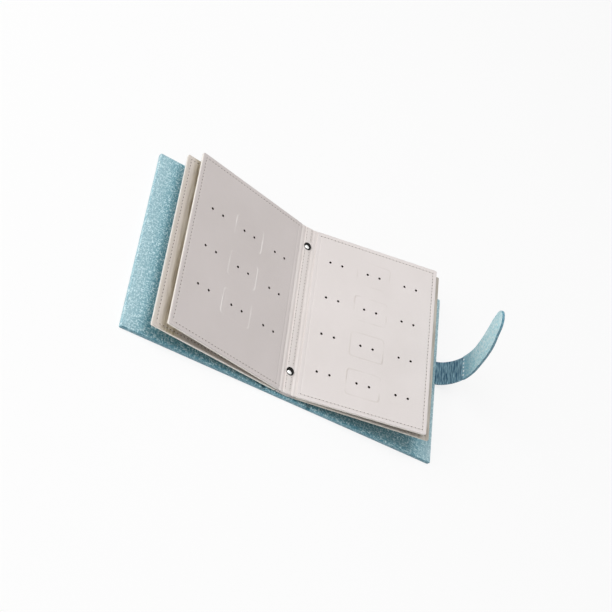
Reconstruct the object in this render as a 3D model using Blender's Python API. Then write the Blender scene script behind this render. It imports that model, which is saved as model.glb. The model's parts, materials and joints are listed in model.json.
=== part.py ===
"""Earring book: a padded binder whose punched leaves hold pairs of earring studs.

X runs along the open spread, from the front cover on the left to the back cover on the right.
Y runs up the leaves and Z up from the table. The origin is the middle of the spine's outer face.
The book lies open, with both covers flat and the leaves fanned up from the spine.
"""

import math

import bmesh
import bpy
from mathutils import Matrix, Vector

# Clearances
GAP = 0.0003                  # air between two pieces that touch
CUT_OVERRUN = 0.002           # how far every cutter runs past what it cuts

# Cover and spine build-up, from the table upwards
COVER_HEIGHT = 0.155          # bottom edge to top edge
COVER_REACH = 0.1395          # middle of the spine to the fore edge
COVER_CORNER = 0.004
SKIN = 0.0008                 # outer leatherette
BOARD = 0.0020                # stiff grey board
LINING = 0.0007               # inner leatherette
FOLD_HALF_GAP = 0.0004        # from a fold's axis to the skin's edge
SPINE_WIDTH = 0.037           # between the two fold axes
GROOVE = 0.0044               # from a fold's axis to the cover's board

# Leaves
COVER_OVERHANG = 0.0015       # how far the cover stands past the leaves' top and bottom edges
LEAF_CORNER = 0.003
LEAF_SKIN = 0.0004
LEAF_CORE = 0.0008
UPPER_REACH = 0.1105          # crease to fore edge, of the two upper leaves
LOWER_REACH = 0.1165          # crease to fore edge, of the two lower leaves
BINDING_OFFSET = -0.0035      # middle of the spine to the middle of the binding strips
CREASE_HALF = 0.0043          # middle of the binding strips to the crease
CREASE_WIDTH = 0.0030         # pressed band between the crease and the leaf
CREASE_THICKNESS = 0.0012

# Stud holes
STUD_HOLE_RADIUS = 0.00105
STUD_SPACING = 0.0104         # between the two holes of a pair
COLUMN_PITCH = 0.0327
ROW_PITCH = 0.0335
COLUMN_CENTRE = 0.0551        # crease to the middle column
LOWER_ROWS = 4
UPPER_LEFT_ROWS = 3
UPPER_RIGHT_ROWS = 4
STUD_HOLE_SIDES = 8
CORE_HOLE_SIDES = 6

# Rest angles and fold, in degrees
LOWER_LEFT_TILT = 6.2
UPPER_LEFT_TILT = 10.7
LOWER_RIGHT_TILT = 11.5
UPPER_RIGHT_TILT = 14.0

# Rivets
RIVET_INSET = 0.0185          # a leaf's top or bottom edge to the rivet's middle
RIVET_CAP_HEIGHT = 0.00115
RIVET_RIM = 0.00035
RIVET_POST_RADIUS = 0.0013
RIVET_SOCKET_DEPTH = 0.0008
RIVET_HEAD_RADIUS = 0.0032
RIVET_HEAD_HEIGHT = 0.0009
ROUND_SIDES = 20

# Closing strap
STRAP_WIDTH = 0.022
STRAP_PLACE = 0.005           # its middle line above the book's middle
STRAP_SKIN = 0.0006
STRAP_CORE = 0.0008
STRAP_BASE_LENGTH = 0.0315    # straight distance between the strap's two fold axes
STRAP_REACH = 0.0768          # second fold axis to the rounded end
TAIL_BEND = 0.0126            # radius of the bend where the strap leaves the cover
TAIL_ANGLE = 58.0             # slope of the tail at the first fold axis
TAIL_STRAIGHT = 0.014         # length held inside the cover
BASE_TURN = 57.5              # how much the base curls between its two ends
TAIL_LEAD = 0.0080            # fore edge to the first fold axis

# Magnets
FRONT_MAGNET_RADIUS = 0.006
FRONT_MAGNET_HEIGHT = 0.0015
STRAP_MAGNET_RADIUS = 0.005
STRAP_MAGNET_INSET = 0.0108     # rounded end to the magnet's middle

ARC_STEPS = 10
KNUCKLE_STEPS = 6
CORNER_STEPS = 4

# Sizes worked out from those above
LEAF_HEIGHT = COVER_HEIGHT - 2 * COVER_OVERHANG
RIVET_SPACING = LEAF_HEIGHT - 2 * RIVET_INSET
BOARD_FLOOR = SKIN + GAP
LINING_FLOOR = BOARD_FLOOR + BOARD + GAP
COVER_TOP = LINING_FLOOR + LINING
FOLD_HEIGHT = SKIN / 2
FOLD_X = SPINE_WIDTH / 2
LEAF_THICKNESS = 2 * LEAF_SKIN + LEAF_CORE + 2 * GAP
LEAF_STEP = LEAF_THICKNESS + GAP
LOWER_STRIP_FLOOR = COVER_TOP + GAP
UPPER_STRIP_FLOOR = LOWER_STRIP_FLOOR + LEAF_STEP
UPPER_STRIP_TOP = UPPER_STRIP_FLOOR + LEAF_THICKNESS
CREASE_HEIGHT = UPPER_STRIP_FLOOR + LEAF_THICKNESS / 2
CREASE_KNUCKLE = CREASE_THICKNESS / 2
UPPER_STRIP_HALF = CREASE_HALF - CREASE_KNUCKLE - GAP
RIVET_CAP_RADIUS = UPPER_STRIP_HALF
STRAP_THICKNESS = 2 * STRAP_SKIN + STRAP_CORE + 2 * GAP
TAIL_HALF = BOARD / 2
BASE_OVERSHOOT = STRAP_BASE_LENGTH * math.cos(math.radians(TAIL_ANGLE + BASE_TURN / 2))
STRAP_MAGNET_PLACE = STRAP_REACH - STRAP_MAGNET_INSET    # second fold axis to the magnet
FRONT_MAGNET_PLACE = COVER_REACH + TAIL_LEAD + BASE_OVERSHOOT - STRAP_MAGNET_PLACE

PALETTE = {
    "cover_blue": ("7FB5C6", 0.55, 0.0),
    "lining_blue": ("74AABC", 0.6, 0.0),
    "strap_blue": ("5E97AD", 0.5, 0.0),
    "grey_board": ("8C8A84", 0.9, 0.0),
    "leaf_ivory": ("E4DEDA", 0.5, 0.0),
    "leaf_core": ("EFEBE4", 0.8, 0.0),
    "nickel": ("D8D8D6", 0.15, 1.0),
    "magnet": ("6E7072", 0.35, 1.0),
}


SRGB_OFFSET = 0.055           # constant of the sRGB curve


def linear(hex_colour):
    """Turn an sRGB hex colour into linear RGBA."""
    channels = [int(hex_colour[i:i + 2], 16) / 255 for i in (0, 2, 4)]
    return [c / 12.92 if c <= 0.04045 else ((c + SRGB_OFFSET) / (1 + SRGB_OFFSET)) ** 2.4
            for c in channels] + [1.0]


def make_material(slot):
    """One Principled material from the palette."""
    colour, roughness, metallic = PALETTE[slot]
    material = bpy.data.materials.new(slot)
    material.use_nodes = True
    shader = material.node_tree.nodes["Principled BSDF"]
    shader.inputs["Base Color"].default_value = linear(colour)
    shader.inputs["Roughness"].default_value = roughness
    shader.inputs["Metallic"].default_value = metallic
    return material


def add_object(name, bm, slot=None, parent=None):
    """Turn a bmesh into a named object under its parent; without a slot it is a cutter."""
    bmesh.ops.recalc_face_normals(bm, faces=bm.faces)
    mesh = bpy.data.meshes.new(name)
    bm.to_mesh(mesh)
    bm.free()
    obj = bpy.data.objects.new(name, mesh)
    bpy.context.scene.collection.objects.link(obj)
    obj.parent = parent
    if slot:
        mesh.materials.append(MATERIALS[slot])
    else:
        obj.hide_render = True
        obj.display_type = "WIRE"
    return obj


def add_axis(name, x, z, slope, parent=None):
    """An empty on a fold axis, turned so that its X runs along the folded piece."""
    empty = bpy.data.objects.new(name, None)
    empty.location = (x, 0, z)
    empty.rotation_euler = (0, -slope, 0)
    empty.parent = parent
    bpy.context.scene.collection.objects.link(empty)
    return empty


def cut(obj, cutter):
    """Take the cutter out of the object."""
    modifier = obj.modifiers.new("cut_" + cutter.name, "BOOLEAN")
    modifier.operation = "DIFFERENCE"
    modifier.solver = "EXACT"
    modifier.object = cutter


def raise_outline(points, low, high, axis):
    """A solid from a flat outline, raised from low to high along Y or Z."""
    bm = bmesh.new()
    if axis == "Y":
        verts = [bm.verts.new((a, low, b)) for a, b in points]
        shift = Vector((0, high - low, 0))
    else:
        verts = [bm.verts.new((a, b, low)) for a, b in points]
        shift = Vector((0, 0, high - low))
    face = bm.faces.new(verts)
    grown = bmesh.ops.extrude_face_region(bm, geom=[face])
    moved = [item for item in grown["geom"] if isinstance(item, bmesh.types.BMVert)]
    bmesh.ops.translate(bm, verts=moved, vec=shift)
    return bm


def arc(centre, radius, start, end, steps):
    """Points on a circular arc from one angle to another, in radians."""
    turn = (end - start) / steps
    return [(centre[0] + radius * math.cos(start + turn * i), centre[1] + radius * math.sin(start + turn * i))
            for i in range(steps + 1)]


def plate_outline(near, far, height, corner, side):
    """A panel from x = near to x = far on one side, with its two far corners rounded."""
    half = height / 2
    quarter = math.pi / 2
    points = [(near, -half)]
    points += arc((far - corner, corner - half), corner, -quarter, 0, CORNER_STEPS)
    points += arc((far - corner, half - corner), corner, 0, quarter, CORNER_STEPS)
    points += [(near, half)]
    return [(side * x, y) for x, y in points]


def plate(name, slot, near, far, height, corner, floor, top, side=1, parent=None):
    """A flat panel with rounded fore-edge corners."""
    outline = plate_outline(near, far, height, corner, side)
    return add_object(name, raise_outline(outline, floor, top, "Z"), slot, parent)


def block(name, slot, x_low, x_high, y_low, y_high, floor, top, parent=None):
    """A plain rectangular piece or cutter."""
    outline = [(x_low, y_low), (x_high, y_low), (x_high, y_high), (x_low, y_high)]
    return add_object(name, raise_outline(outline, floor, top, "Z"), slot, parent)


def discs(places, radius, floor, top, sides):
    """Upright cylinders at the given places, in one bmesh."""
    bm = bmesh.new()
    for x, y in places:
        place = Matrix.Translation((x, y, (floor + top) / 2))
        bmesh.ops.create_cone(bm, cap_ends=True, segments=sides, radius1=radius, radius2=radius,
                              depth=top - floor, matrix=place)
    return bm


def band_outline(path, low, high):
    """A closed outline around a path of (x, z, slope), between two offsets along its normal."""
    under = [(x - low_shift[0], z + low_shift[1]) for x, z, low_shift in
             ((x, z, (low * math.sin(s), low * math.cos(s))) for x, z, s in path)]
    over = [(x - high_shift[0], z + high_shift[1]) for x, z, high_shift in
            ((x, z, (high * math.sin(s), high * math.cos(s))) for x, z, s in path)]
    return under, over


def knuckle(centre, radius, slope):
    """Half a circle at the end of a band, from its under side round to its upper side."""
    quarter = math.pi / 2
    return arc(centre, radius, slope - quarter, slope + quarter, KNUCKLE_STEPS)[1:-1]


def round_piece_smooth(obj, limit=math.radians(40)):
    """Shade a round piece smooth, with sharp edges kept."""
    obj.data.shade_smooth()
    obj.data.set_sharp_from_angle(angle=limit)


def build_spine():
    """The spine's three layers, under the leaves."""
    edge = FOLD_X - FOLD_HALF_GAP
    half = COVER_HEIGHT / 2
    rim = SKIN + GAP
    block("spine_skin", "cover_blue", -edge, edge, -half, half, 0, SKIN)
    board = block("spine_board", "grey_board", -edge, edge, rim - half, half - rim,
                  BOARD_FLOOR, BOARD_FLOOR + BOARD)
    lining = block("spine_lining", "lining_blue", -edge, edge, -half, half, LINING_FLOOR, COVER_TOP)
    places = [(BINDING_OFFSET, end * RIVET_SPACING / 2) for end in (1, -1)]
    post_cutter = add_object("post_cutter", discs(places, RIVET_POST_RADIUS + GAP, LINING_FLOOR - CUT_OVERRUN,
                                                  UPPER_STRIP_TOP + CUT_OVERRUN, ROUND_SIDES))
    head_cutter = add_object("head_cutter", discs(places, RIVET_HEAD_RADIUS + GAP, BOARD_FLOOR - CUT_OVERRUN,
                                                  LINING_FLOOR, ROUND_SIDES))
    cut(board, head_cutter)
    cut(lining, post_cutter)
    leaf_half = LEAF_HEIGHT / 2
    strips = {"lower_binding_strip": (CREASE_HALF, LOWER_STRIP_FLOOR),
              "upper_binding_strip": (UPPER_STRIP_HALF, UPPER_STRIP_FLOOR)}
    for name, (reach, floor) in strips.items():
        strip = block(name, "leaf_ivory", BINDING_OFFSET - reach, BINDING_OFFSET + reach,
                      -leaf_half, leaf_half, floor, floor + LEAF_THICKNESS)
        cut(strip, post_cutter)
    for end, (x, y) in zip(("top", "bottom"), places):
        build_rivet(end, x, y)


def build_rivet(end, x, y):
    """A domed cap on the upper strip, pressed on a post whose head is held under the lining."""
    head_top = LINING_FLOOR - GAP
    head_floor = head_top - RIVET_HEAD_HEIGHT
    cap_floor = UPPER_STRIP_TOP + GAP
    post_top = cap_floor + RIVET_SOCKET_DEPTH - GAP
    profile = [(0, head_floor), (RIVET_HEAD_RADIUS, head_floor), (RIVET_HEAD_RADIUS, head_top),
               (RIVET_POST_RADIUS, head_top), (RIVET_POST_RADIUS, post_top), (0, post_top)]
    add_turned("rivet_post_" + end, profile, x, y)
    socket = RIVET_POST_RADIUS + GAP
    socket_top = cap_floor + RIVET_SOCKET_DEPTH
    rim_top = cap_floor + RIVET_RIM
    rise = RIVET_CAP_HEIGHT - RIVET_RIM
    dome = [(RIVET_CAP_RADIUS * math.cos(math.pi / 2 * i / CORNER_STEPS),
             rim_top + rise * math.sin(math.pi / 2 * i / CORNER_STEPS)) for i in range(CORNER_STEPS)]
    profile = [(0, socket_top), (socket, socket_top), (socket, cap_floor), (RIVET_CAP_RADIUS, cap_floor)]
    profile += dome + [(0, rim_top + rise)]
    add_turned("rivet_cap_" + end, profile, x, y)


def add_turned(name, profile, x, y):
    """A nickel piece turned from an outline of (radius, height) that starts and ends on the axis."""
    bm = bmesh.new()
    verts = [bm.verts.new((radius, 0, height)) for radius, height in profile]
    edges = [bm.edges.new(pair) for pair in zip(verts, verts[1:])]
    bmesh.ops.spin(bm, geom=verts + edges, axis=(0, 0, 1), cent=(0, 0, 0), angle=2 * math.pi,
                   steps=ROUND_SIDES, use_merge=True)
    bmesh.ops.remove_doubles(bm, verts=bm.verts, dist=GAP / 100)
    bmesh.ops.translate(bm, verts=bm.verts, vec=(x, y, 0))
    round_piece_smooth(add_object(name, bm, "nickel"))


def build_cover(label, side):
    """One cover: a skin turned up round the edges, a board and a lining."""
    axis = add_axis(label + "_fold_axis", side * FOLD_X, FOLD_HEIGHT, 0)
    reach = COVER_REACH - FOLD_X
    floor = -FOLD_HEIGHT
    skin = plate(label + "_skin", "cover_blue", FOLD_HALF_GAP, reach, COVER_HEIGHT, COVER_CORNER,
                 floor, floor + COVER_TOP, side, axis)
    rim = SKIN + GAP
    tray = plate(label + "_tray_cutter", None, -CUT_OVERRUN, reach - SKIN, COVER_HEIGHT - 2 * SKIN,
                 COVER_CORNER - SKIN, floor + SKIN, floor + COVER_TOP + CUT_OVERRUN, side, axis)
    cut(skin, tray)
    groove = block(label + "_groove_cutter", None, *sorted((-side * CUT_OVERRUN, side * (GROOVE - GAP))),
                   -COVER_HEIGHT, COVER_HEIGHT, floor + SKIN, floor + COVER_TOP + CUT_OVERRUN, axis)
    cut(skin, groove)
    board_floor = floor + BOARD_FLOOR
    board = plate(label + "_board", "grey_board", GROOVE, reach - rim, COVER_HEIGHT - 2 * rim,
                  COVER_CORNER - rim, board_floor, board_floor + BOARD, side, axis)
    plate(label + "_lining", "lining_blue", GROOVE, reach - rim, COVER_HEIGHT - 2 * rim,
          COVER_CORNER - rim, floor + LINING_FLOOR, floor + COVER_TOP, side, axis)
    return axis, skin, board


def build_front_magnet(axis, board):
    """A magnet let into the front board, where the strap's end comes to rest."""
    place = [(FOLD_X - FRONT_MAGNET_PLACE, STRAP_PLACE)]
    floor = BOARD_FLOOR - FOLD_HEIGHT
    pocket = discs(place, FRONT_MAGNET_RADIUS + GAP, floor - CUT_OVERRUN, floor + BOARD + CUT_OVERRUN,
                   ROUND_SIDES)
    cut(board, add_object("front_magnet_cutter", pocket, None, axis))
    magnet = discs(place, FRONT_MAGNET_RADIUS, floor, floor + FRONT_MAGNET_HEIGHT, ROUND_SIDES)
    round_piece_smooth(add_object("front_magnet", magnet, "magnet", axis))


def stud_places(side, rows, reach_offset):
    """Centres of the stud holes on one leaf, three columns of pairs in each row."""
    places = []
    for row in range(rows):
        y = (row - (rows - 1) / 2) * ROW_PITCH
        for column in (-1, 0, 1):
            for hole in (-1 / 2, 1 / 2):
                x = COLUMN_CENTRE - reach_offset + column * COLUMN_PITCH + hole * STUD_SPACING
                places.append((side * x, y))
    return places


def build_leaf(label, side, axis, reach, height, rows):
    """A leaf of two leatherette skins round a stiff core, punched for studs.

    The leaf's own X starts on its fold axis, and height is its middle above that axis.
    """
    near = CREASE_KNUCKLE + GAP
    far = reach - CREASE_WIDTH
    layers = (("back", -LEAF_THICKNESS / 2, LEAF_SKIN, "leaf_ivory", STUD_HOLE_SIDES),
              ("core", -LEAF_CORE / 2, LEAF_CORE, "leaf_core", CORE_HOLE_SIDES),
              ("face", LEAF_THICKNESS / 2 - LEAF_SKIN, LEAF_SKIN, "leaf_ivory", STUD_HOLE_SIDES))
    places = stud_places(side, rows, CREASE_WIDTH)
    cutters = {}
    for sides in (STUD_HOLE_SIDES, CORE_HOLE_SIDES):
        holes = discs(places, STUD_HOLE_RADIUS, height - LEAF_THICKNESS, height + LEAF_THICKNESS, sides)
        cutters[sides] = add_object("%s_holes_%d" % (label, sides), holes, None, axis)
    for layer, floor, thickness, slot, sides in layers:
        piece = plate(label + "_" + layer, slot, near, far, LEAF_HEIGHT, LEAF_CORNER,
                      height + floor, height + floor + thickness, side, axis)
        cut(piece, cutters[sides])


def build_side(place, side, lower_tilt, upper_tilt, upper_rows, labels):
    """The creases and two leaves on one side; the upper leaf is carried by the lower one."""
    crease_x = BINDING_OFFSET + side * CREASE_HALF
    crease = add_axis(place + "_crease_axis", crease_x, CREASE_HEIGHT, side * lower_tilt)
    half = LEAF_HEIGHT / 2
    upper, lower = labels
    knuckle_in = knuckle((0, 0), CREASE_KNUCKLE, math.pi)
    knuckle_out = knuckle((CREASE_WIDTH, 0), CREASE_KNUCKLE, 0)
    points = [(0, CREASE_KNUCKLE)] + knuckle_in + [(0, -CREASE_KNUCKLE), (CREASE_WIDTH, -CREASE_KNUCKLE)]
    points += knuckle_out + [(CREASE_WIDTH, CREASE_KNUCKLE)]
    outline = [(side * x, z) for x, z in points]
    add_object(upper + "_crease", raise_outline(outline, -half, half, "Y"), "leaf_ivory", crease)
    edge = sorted((side * GAP, side * (CREASE_WIDTH - GAP)))
    floor = -LEAF_STEP - CREASE_KNUCKLE
    block(lower + "_crease", "leaf_ivory", edge[0], edge[1], -half, half,
          floor, floor + CREASE_THICKNESS, crease)
    lower_axis = add_axis(lower + "_axis", side * CREASE_WIDTH, 0, 0, crease)
    build_leaf(lower, side, lower_axis, LOWER_REACH, -LEAF_STEP, LOWER_ROWS)
    upper_axis = add_axis(upper + "_axis", 0, 0, side * (upper_tilt - lower_tilt), lower_axis)
    build_leaf(upper, side, upper_axis, UPPER_REACH, 0, upper_rows)


def build_strap(back_axis, back_skin, back_board):
    """The closing strap: a tail held in the back cover, a curled base and a rounded tongue."""
    half = STRAP_WIDTH / 2
    low, high = STRAP_PLACE - half, STRAP_PLACE + half
    edge = COVER_REACH - FOLD_X
    root_x = edge + TAIL_LEAD
    slope = math.radians(TAIL_ANGLE)
    bend_start = root_x - TAIL_BEND * math.sin(slope)
    middle = BOARD_FLOOR + TAIL_HALF - FOLD_HEIGHT
    path = [(bend_start - TAIL_STRAIGHT, middle, 0)]
    for i in range(ARC_STEPS + 1):
        turn = slope * i / ARC_STEPS
        rise = TAIL_BEND * (1 - math.cos(turn))
        path.append((bend_start + TAIL_BEND * math.sin(turn), middle + rise, turn))
    under, over = band_outline(path, -TAIL_HALF, TAIL_HALF)
    root = path[-1]
    points = under + knuckle(root[:2], TAIL_HALF, slope) + over[::-1]
    add_object("strap_tail", raise_outline(points, low, high, "Y"), "strap_blue", back_axis)
    pocket = block("strap_pocket_cutter", None, path[0][0] - GAP, edge + CUT_OVERRUN,
                   low - GAP, high + GAP, BOARD_FLOOR - FOLD_HEIGHT, COVER_TOP + CUT_OVERRUN, back_axis)
    cut(back_board, pocket)
    cut(back_skin, pocket)

    base_axis = add_axis("strap_base_axis", root[0], root[1], slope, back_axis)
    base_axis.location.y = STRAP_PLACE
    turn = math.radians(BASE_TURN)
    radius = STRAP_BASE_LENGTH / (2 * math.sin(turn / 2))
    seat = TAIL_HALF + GAP
    layers = (("outer", -STRAP_THICKNESS / 2, STRAP_SKIN), ("core", -STRAP_CORE / 2, STRAP_CORE),
              ("inner", STRAP_THICKNESS / 2 - STRAP_SKIN, STRAP_SKIN))
    end_gap = {"outer": STRAP_THICKNESS / 2, "core": 0, "inner": STRAP_THICKNESS / 2}
    for layer, floor, thickness in layers:
        start = seat / radius
        end = turn - end_gap[layer] / radius
        path = []
        for i in range(ARC_STEPS + 1):
            angle = start + (end - start) * i / ARC_STEPS
            path.append((radius * math.sin(angle), radius * (1 - math.cos(angle)), angle))
        under, over = band_outline(path, floor, floor + thickness)
        nose = knuckle(path[-1][:2], thickness / 2, path[-1][2]) if layer == "core" else []
        slot = "leaf_core" if layer == "core" else "strap_blue"
        outline = raise_outline(under + nose + over[::-1], -half, half, "Y")
        add_object("strap_base_" + layer, outline, slot, base_axis)

    tip_axis = add_axis("strap_tip_axis", radius * math.sin(turn), radius * (1 - math.cos(turn)), turn,
                        base_axis)
    near = STRAP_CORE / 2 + GAP
    for layer, floor, thickness in layers:
        slot = "leaf_core" if layer == "core" else "strap_blue"
        corner = half - GAP
        piece = plate("strap_tip_" + layer, slot, near, STRAP_REACH, STRAP_WIDTH, corner,
                      floor, floor + thickness, 1, tip_axis)
        if layer == "core":
            place = [(STRAP_MAGNET_PLACE, 0)]
            pocket = discs(place, STRAP_MAGNET_RADIUS + GAP, -STRAP_CORE, STRAP_CORE, ROUND_SIDES)
            cut(piece, add_object("strap_magnet_cutter", pocket, None, tip_axis))
            magnet = discs(place, STRAP_MAGNET_RADIUS, floor, floor + thickness, ROUND_SIDES)
            round_piece_smooth(add_object("strap_magnet", magnet, "magnet", tip_axis))


for old in list(bpy.data.objects):
    bpy.data.objects.remove(old, do_unlink=True)

MATERIALS = {slot: make_material(slot) for slot in PALETTE}

build_spine()
front_axis, front_skin, front_board = build_cover("front", -1)
build_front_magnet(front_axis, front_board)
back_axis, back_skin, back_board = build_cover("back", 1)
build_side("left", -1, math.radians(LOWER_LEFT_TILT), math.radians(UPPER_LEFT_TILT), UPPER_LEFT_ROWS,
           ("leaf_a", "leaf_b"))
build_side("right", 1, math.radians(LOWER_RIGHT_TILT), math.radians(UPPER_RIGHT_TILT), UPPER_RIGHT_ROWS,
           ("leaf_c", "leaf_d"))
build_strap(back_axis, back_skin, back_board)
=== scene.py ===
"""An opened earring book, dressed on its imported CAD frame: leatherette covers, four punched leaves, a magnet strap."""

import json
import logging
import math
from dataclasses import dataclass
from enum import Enum

import bmesh
import bpy
from bmesh.types import BMEdge, BMesh, BMFace, BMVert
from bpy.types import Material, Node, NodeSocket, NodeTree, Object, World
from mathutils import Matrix, Vector


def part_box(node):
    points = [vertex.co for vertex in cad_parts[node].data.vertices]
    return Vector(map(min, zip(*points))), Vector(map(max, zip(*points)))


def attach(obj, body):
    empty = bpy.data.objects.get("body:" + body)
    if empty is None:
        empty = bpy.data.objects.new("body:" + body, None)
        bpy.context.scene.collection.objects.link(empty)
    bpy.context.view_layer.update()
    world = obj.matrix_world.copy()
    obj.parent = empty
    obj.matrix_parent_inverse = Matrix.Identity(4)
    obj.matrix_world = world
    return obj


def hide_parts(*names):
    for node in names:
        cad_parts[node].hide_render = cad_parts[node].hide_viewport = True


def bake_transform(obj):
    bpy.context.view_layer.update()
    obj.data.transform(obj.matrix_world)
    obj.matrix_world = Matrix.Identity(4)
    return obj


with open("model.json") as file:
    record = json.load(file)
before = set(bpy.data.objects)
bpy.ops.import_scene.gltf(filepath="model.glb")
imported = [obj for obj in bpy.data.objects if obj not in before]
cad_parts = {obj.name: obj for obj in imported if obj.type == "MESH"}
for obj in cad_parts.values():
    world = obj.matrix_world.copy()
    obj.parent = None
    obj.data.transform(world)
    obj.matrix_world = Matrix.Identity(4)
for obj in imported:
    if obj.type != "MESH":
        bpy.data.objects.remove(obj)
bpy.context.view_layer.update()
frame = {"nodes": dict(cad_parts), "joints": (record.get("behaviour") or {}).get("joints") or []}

LOG = logging.getLogger("earring_book")
Colour = tuple[float, float, float, float]
Point = tuple[float, float, float]
Span = tuple[float, float]
MM = 0.001                      # one millimetre in the frame's metres
SAME = 1e-6                     # metres: points that lie closer are one
FINE = 1e-7                     # metres: the finest difference that is told apart
REST = "rest_place"             # attribute with each point's place on the flat piece, in metres
WAVE = math.tau / 20            # one wave of Blender's wave texture at a scale of 1, in metres
SMOOTH = {"interpolation_type": "SMOOTHSTEP"}
COLOURS = {"data_type": "RGBA"}
UNDER, OVER = 6, 7              # numbers of a colour mix's two inputs
WHITE = (1, 1, 1, 1)


class Side(Enum):
    """Which way a part lies from the spine."""

    LEFT = -1
    RIGHT = 1

    def span(self, near: float, far: float) -> list[float]:
        """Lowest and highest x between two distances on this side."""
        return sorted((self.value * near, self.value * far))


# Shared helpers

def linear(code: str) -> Colour:
    """Turn an sRGB hex colour into Blender's linear colour.

    Args:
        code: six hex digits.

    Returns:
        Red, green, blue and a full alpha.
    """
    parts = [int(code[i:i + 2], 16) / 255 for i in (0, 2, 4)]
    return tuple(p / 12.92 if p <= 0.04045 else ((p + 0.055) / 1.055) ** 2.4 for p in parts) + (1.0,)


def add_node(tree: NodeTree, kind: str, settings: dict | None = None, links: dict | None = None) -> Node:
    """Add one shader node with its settings and links.

    Args:
        tree: node tree that gets the node.
        kind: Blender's type name of the node, without its first word ShaderNode.
        settings: values by property name, or by input name or number.
        links: what feeds an input, by its name or number: a socket, or a node for its first output in use.

    Returns:
        The new node.
    """
    node = tree.nodes.new("ShaderNode" + kind)
    for key, value in (settings or {}).items():
        if isinstance(key, str) and hasattr(node, key):
            setattr(node, key, value)
        else:
            node.inputs[key].default_value = value
    for key, source in (links or {}).items():
        if isinstance(source, Node):
            source = next(socket for socket in source.outputs if socket.enabled)
        tree.links.new(source, node.inputs[key])
    return node


def clear_tree(owner: Material | World) -> NodeTree:
    """Turn on the nodes of a material or world and remove the ones it starts with.

    Args:
        owner: the material or world.

    Returns:
        Its empty node tree.
    """
    owner.use_nodes = True
    owner.node_tree.nodes.clear()
    return owner.node_tree


def reach_mask(tree: NodeTree, rest: NodeSocket, span: Span, strength: float) -> Node:
    """Let a value rise along the flat piece, on either side of its zero.

    Args:
        tree: the material's node tree.
        rest: the flat piece's coordinates.
        span: distances along it where the value starts and where it is full.
        strength: the full value.

    Returns:
        The node that gives the value.
    """
    parts = add_node(tree, "SeparateXYZ", links={0: rest})
    out = add_node(tree, "Math", {"operation": "ABSOLUTE"}, {0: parts})
    return add_node(tree, "MapRange", SMOOTH | {"From Min": span[0], "From Max": span[1], "To Max": strength},
                    {"Value": out})


def reach_tone(tree: NodeTree, rest: NodeSocket, colour: Node, tone: str, span: Span, strength: float) -> Node:
    """Let another tone come in over a colour along the flat piece.

    Args:
        tree: the material's node tree.
        rest: the flat piece's coordinates.
        colour: node with the colour underneath.
        tone: the other tone.
        span: distances along the piece where it starts and where it is full.
        strength: its full share.

    Returns:
        The node that gives the colour.
    """
    share = reach_mask(tree, rest, span, strength)
    return add_node(tree, "Mix", COLOURS | {OVER: linear(tone)}, {0: share, UNDER: colour})


def ease(value: float) -> float:
    """Smooth step of a value held between 0 and 1."""
    value = min(1.0, max(0.0, value))
    return value * value * (3 - 2 * value)


def spread(low: float, high: float, pitch: float) -> list[float]:
    """Share out places between two ends.

    Args:
        low: one end.
        high: the other end.
        pitch: about how far apart the places are.

    Returns:
        The places, half a step in from both ends.
    """
    count = round((high - low) / pitch)
    return [low + (high - low) * (i + 0.5) / count for i in range(count)]


def start_plate(bm: BMesh, x_low: float, x_high: float, y_low: float, y_high: float) -> BMFace:
    """Make a flat rectangle at height zero.

    Args:
        bm: the mesh that gets it.
        x_low: its lowest x.
        x_high: its highest x.
        y_low: its lowest y.
        y_high: its highest y.

    Returns:
        Its face.
    """
    middle = Matrix.Translation(((x_low + x_high) / 2, (y_low + y_high) / 2, 0))
    scale = Matrix.Diagonal((x_high - x_low, y_high - y_low, 1, 1))
    made = bmesh.ops.create_grid(bm, x_segments=1, y_segments=1, size=0.5, matrix=middle @ scale)
    return made["verts"][0].link_faces[0]


def round_off(bm: BMesh, parts: list[BMEdge] | list[BMVert], radius: float, segments: int,
              affect: str = "EDGES") -> None:
    """Round edges of a solid, or corners of a flat plate.

    Args:
        bm: the mesh.
        parts: the edges or corners.
        radius: their radius.
        segments: steps along the curve.
        affect: EDGES or VERTICES.
    """
    bmesh.ops.bevel(bm, geom=parts, offset=radius, offset_type="OFFSET", segments=segments, profile=0.5,
                    affect=affect, material=-1)


def spot(vert: BMVert) -> tuple[float, float]:
    """A point's rounded place in the flat plane, to find it again after it was copied."""
    return round(vert.co.x, 7), round(vert.co.y, 7)


def outline_loop(bm: BMesh, bounds: tuple[float, float, float, float], inset: float, corner: float) -> list[BMEdge]:
    """Draw a rounded rectangle as a bare loop of edges.

    Args:
        bm: the mesh that gets the loop.
        bounds: lowest and highest x, then lowest and highest y, of the uncut plate.
        inset: distance from the plate's edge.
        corner: radius of the plate's corners.

    Returns:
        The loop's edges.
    """
    smallest = 0.3 * MM
    before = set(bm.edges)
    face = start_plate(bm, bounds[0] + inset, bounds[1] - inset, bounds[2] + inset, bounds[3] - inset)
    round_off(bm, list(face.verts), max(corner - inset, smallest), 5, "VERTICES")
    made = [e for e in bm.edges if e not in before]
    bmesh.ops.delete(bm, geom=list({f for e in made for f in e.link_faces}), context="FACES_ONLY")
    return made


def thicken(bm: BMesh, height: float) -> None:
    """Pull the whole flat mesh up into a closed plate.

    Args:
        bm: the mesh.
        height: the plate's thickness.
    """
    pulled = bmesh.ops.extrude_face_region(bm, geom=bm.faces[:])
    upper = [part for part in pulled["geom"] if isinstance(part, BMVert)]
    bmesh.ops.translate(bm, vec=(0, 0, height), verts=upper)


def level_edges(bm: BMesh) -> list[BMEdge]:
    """Find the edges round a plate's two faces."""
    return [e for e in bm.edges if abs(e.verts[0].co.z - e.verts[1].co.z) < FINE]


def lift_mesh(bm: BMesh, height: float) -> None:
    """Move the whole mesh up."""
    bmesh.ops.translate(bm, vec=(0, 0, height), verts=bm.verts)


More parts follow.
